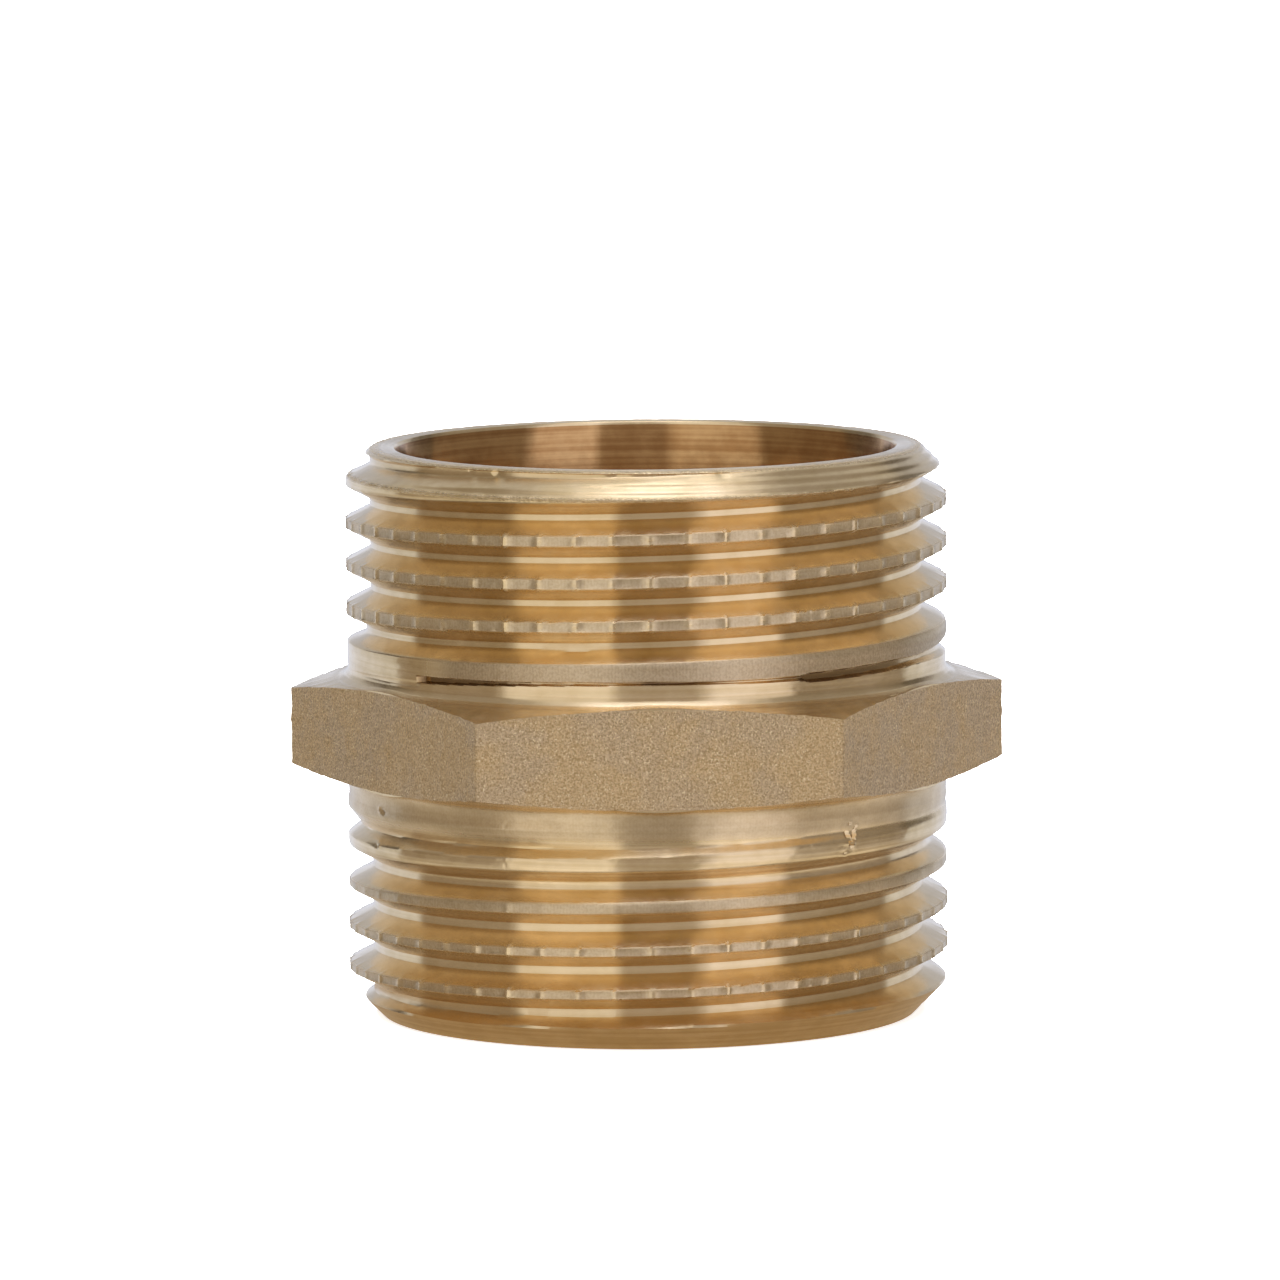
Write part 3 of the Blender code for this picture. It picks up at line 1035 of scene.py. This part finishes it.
def brass_materials():
    """The materials of the finishes TURNED, THREADED, FORGED and BORED, in that order."""
    clean = (BRASS_DARK, BRASS_LIGHT)
    bore = (SHADED_BORE_DARK, SHADED_BORE_LIGHT)
    # The numbers are the roughness, the height of the tool's lines in millimetres and the coat.
    return [
        turned_brass("turned_brass", 0.22, 0.012, 0.2, None, clean),
        turned_brass("threaded_brass", 0.20, 0.008, 0.12, UPPER_CREST_AT_X, clean),
        forged_brass("forged_brass"),
        # The bore's colours carry painted shade for the dim light inside it.
        turned_brass("shaded_bored_brass", 0.15, 0.004, 0.0, None, bore),
    ]


# ---- object

def nipple():
    mesh = outline_mesh("brass_nipple", nipple_outline(column_angles()))
    piece = bpy.data.objects.new("brass_nipple", mesh)
    bpy.context.scene.collection.objects.link(piece)
    mesh.shade_smooth()
    mesh.set_sharp_from_angle(angle=math.radians(38))
    for material in brass_materials():
        mesh.materials.append(material)
    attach(piece, "root")
    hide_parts("nipple_body")
    return piece


# ---- studio

# Floor: its reach and the size and height of the light over it are in metres, the power in watts
WHITE = (1.0, 1.0, 1.0, 1.0)
BLACK = (0.0, 0.0, 0.0, 1.0)
FLOOR_WHITE = (0.93, 0.93, 0.93, 1.0)
FLOOR_GLOW = 0.75
FLOOR_REACH = 6.0
FLOOR_DEPTH = 0.02
SHADE_RADIUS = 21.2
SHADE_SIDES = 48
SHADE_DEPTH = 0.01
# Painted shade: the glow of the disc round the foot, which the metal mirrors in place of the floor's shadow
PAINTED_GROUND_SHADE = (0.38, 0.28, 0.17, 1.0)
CEILING_SIZE = 2.4
CEILING_POWER = 300.0
CEILING_HEIGHT = 1.6


def glowing_material(name, colour, roughness, glow, strength):
    material = bpy.data.materials.new(name)
    material.use_nodes = True
    shader = material.node_tree.nodes["Principled BSDF"]
    shader.inputs["Base Color"].default_value = colour
    shader.inputs["Roughness"].default_value = roughness
    shader.inputs["Emission Color"].default_value = glow
    shader.inputs["Emission Strength"].default_value = strength
    return material


def flat_piece(name, points, depth, material):
    """One level face, depth millimetres below the ground."""
    mesh = bpy.data.meshes.new(name)
    mesh.from_pydata(points, [], [tuple(range(len(points)))])
    mesh.materials.append(material)
    piece = bpy.data.objects.new(name, mesh)
    bpy.context.scene.collection.objects.link(piece)
    piece.location.z = -depth * MM
    return piece


def floor():
    """A plain white floor, which the metal doesn't mirror."""
    corners = [(-1, -1), (1, -1), (1, 1), (-1, 1)]
    points = [(x * FLOOR_REACH, y * FLOOR_REACH, 0) for x, y in corners]
    material = glowing_material("floor_white", FLOOR_WHITE, 0.9, WHITE, FLOOR_GLOW)
    piece = flat_piece("floor", points, FLOOR_DEPTH, material)
    piece.visible_glossy = False


def ground_shade():
    """A glowing disc with the painted shade of the floor round the foot of the nipple, which only the metal
    mirrors.
    """
    turns = [FULL_TURN * side / SHADE_SIDES for side in range(SHADE_SIDES)]
    points = [(SHADE_RADIUS * MM * math.cos(turn), SHADE_RADIUS * MM * math.sin(turn), 0) for turn in turns]
    material = glowing_material("painted_floor_shade", BLACK, 0.5, PAINTED_GROUND_SHADE, 1.0)
    piece = flat_piece("ground_shade", points, SHADE_DEPTH, material)
    piece.visible_camera = False
    piece.visible_diffuse = False
    piece.visible_shadow = False


def ceiling_light():
    """A large soft light for the floor; the metal reflects the studio instead."""
    data = bpy.data.lights.new("ceiling_light", "AREA")
    data.shape = "DISK"
    data.size = CEILING_SIZE
    data.energy = CEILING_POWER
    light = bpy.data.objects.new("ceiling_light", data)
    bpy.context.scene.collection.objects.link(light)
    light.location = (0.0, 0.0, CEILING_HEIGHT)
    light.visible_glossy = False


# The studio around the object, as bands of light by azimuth: 0 is towards the camera's side and
# 90 towards +X. Each entry starts a band: azimuth, colour.
COOL_WHITE = (0.75, 0.82, 0.99)
LEFT_GAP = (0.28, 0.24, 0.20)
RIGHT_GAP = (0.28, 0.255, 0.24)
BACK_STRIP = (0.12, 0.11, 0.10)
BACK_WHITE = (0.52, 0.55, 0.63)
HIGH_BACK = (0.60, 0.62, 0.66)
LOW_BACK = (0.55, 0.54, 0.55)
STEEP_BACK = (0.50, 0.49, 0.49)
CEILING_BACK = (1.6, 1.7, 2.0)
SOFTBOXES = [(-59, (0.82, 0.82, 0.85)), (-14.5, (0.41, 0.375, 0.36)), (21, (0.92, 0.93, 1.08))]
WALL_BANDS = [(-180, COOL_WHITE), (-113, LEFT_GAP), *SOFTBOXES, (55, RIGHT_GAP), (116, COOL_WHITE)]
STRIP_BANDS = [(-180, BACK_WHITE), (-143, BACK_STRIP), (-113, LEFT_GAP), *SOFTBOXES,
               (55, RIGHT_GAP), (116, BACK_STRIP), (143, BACK_WHITE)]
UPPER_BANDS = [(-180, HIGH_BACK), (-134, (0.34, 0.32, 0.30)), *SOFTBOXES,
               (55, (0.34, 0.33, 0.33)), (132, HIGH_BACK)]
NEAR_GROUND_BANDS = [(-180, LOW_BACK), (-124, (0.68, 0.66, 0.63)), (-59, (1.15, 1.14, 1.14)),
                     (-14.5, (0.55, 0.53, 0.51)), (21, (1.20, 1.19, 1.25)),
                     (55, (0.95, 0.92, 0.92)), (116, LOW_BACK)]
STEEP_GROUND_BANDS = [(-180, STEEP_BACK), (-130, (0.13, 0.115, 0.10)), (-59, (0.75, 0.76, 0.78)),
                      (-14.5, (0.24, 0.225, 0.21)), (21, (0.75, 0.76, 0.82)),
                      (55, (0.20, 0.19, 0.18)), (116, STEEP_BACK)]
CEILING_BANDS = [(-180, CEILING_BACK), (-140, (0.75, 0.79, 0.92)), (-55, (2.5, 2.7, 3.4)),
                 (62, (1.1, 1.15, 1.3)), (140, CEILING_BACK)]

# Half the width over which one band turns into the next, in degrees
BAND_EDGE = 2.5

# The layers over the walls, in the order in which they cover each other: the elevations, in degrees,
# between which each comes in, and its bands
LAYERS_ABOVE = [(3.0, 8.0, STRIP_BANDS), (26.0, 34.0, UPPER_BANDS), (60.0, 70.0, CEILING_BANDS)]
LAYERS_BELOW = [(-22.0, -12.0, NEAR_GROUND_BANDS), (-50.0, -38.0, STEEP_GROUND_BANDS)]


def band_ramp(graph, azimuth, bands):
    """Colours round the studio; azimuth runs from 0 to 1 over the whole turn."""
    made = graph.node("ShaderNodeValToRGB")
    graph.link(azimuth, made.inputs[0])
    previous = bands[0][1]
    places = [(0.0, previous)]
    for degrees, colour in bands[1:]:
        places.append(((degrees - BAND_EDGE + 180) / 360, previous))
        places.append(((degrees + BAND_EDGE + 180) / 360, colour))
        previous = colour
    stops = made.color_ramp.elements
    while len(stops) < len(places):
        stops.new(0.5)
    for stop, (place, colour) in zip(stops, places):
        stop.position = place
        stop.color = (*colour, 1.0)
    return made.outputs[0]


def studio_world():
    """The studio that the metal mirrors, behind a white background for the camera."""
    world = bpy.data.worlds.new("studio")
    bpy.context.scene.world = world
    world.use_nodes = True
    graph = Graph(world.node_tree)
    parts = graph.node("ShaderNodeSeparateXYZ")
    graph.link(graph.node("ShaderNodeTexCoord").outputs["Generated"], parts.inputs[0])
    x, y, z = parts.outputs
    turn = graph.math("DIVIDE", graph.math("ARCTAN2", x, graph.times(y, -1.0)), FULL_TURN)
    azimuth = graph.plus(turn, 0.5)
    elevation = graph.math("DEGREES", graph.math("ARCSINE", z))
    colour = band_ramp(graph, azimuth, WALL_BANDS)
    for low, high, bands in LAYERS_ABOVE:
        share = graph.ramp(elevation, low, high)
        colour = graph.mix_colour(share, colour, band_ramp(graph, azimuth, bands))
    for low, high, bands in LAYERS_BELOW:
        share = graph.ramp(elevation, low, high, 1.0, 0.0)
        colour = graph.mix_colour(share, colour, band_ramp(graph, azimuth, bands))
    camera_ray = graph.node("ShaderNodeLightPath").outputs["Is Camera Ray"]
    background = world.node_tree.nodes["Background"]
    graph.link(graph.mix_colour(camera_ray, colour, WHITE), background.inputs["Color"])
    background.inputs["Strength"].default_value = 1.0


def camera():
    """The camera circles a pivot on the axis, looks at a point beside it and is slightly rolled."""
    data = bpy.data.cameras.new("camera")
    data.lens = CAMERA_LENS
    data.sensor_width = CAMERA_SENSOR
    data.clip_start, data.clip_end = CAMERA_CLIP
    turned = Matrix.Rotation(math.radians(CAMERA_AZIMUTH), 4, "Z")
    elevation = math.radians(CAMERA_ELEVATION)
    pivot = Vector((0.0, 0.0, CAMERA_PIVOT_HEIGHT))
    place = pivot + CAMERA_DISTANCE * Vector((0.0, -math.cos(elevation), math.sin(elevation)))
    place = turned @ (place * MM)
    aim = turned @ (Vector(CAMERA_AIM) * MM)
    facing = (aim - place).to_track_quat("-Z", "Y").to_matrix().to_4x4()
    rolled = facing @ Matrix.Rotation(-math.radians(CAMERA_ROLL), 4, "Z")
    made = bpy.data.objects.new("camera", data)
    bpy.context.scene.collection.objects.link(made)
    made.matrix_world = Matrix.Translation(place) @ rolled
    bpy.context.scene.camera = made


nipple()
floor()
ground_shade()
ceiling_light()
studio_world()
camera()
bpy.context.scene.view_settings.view_transform = "Standard"

bpy.context.view_layer.update()
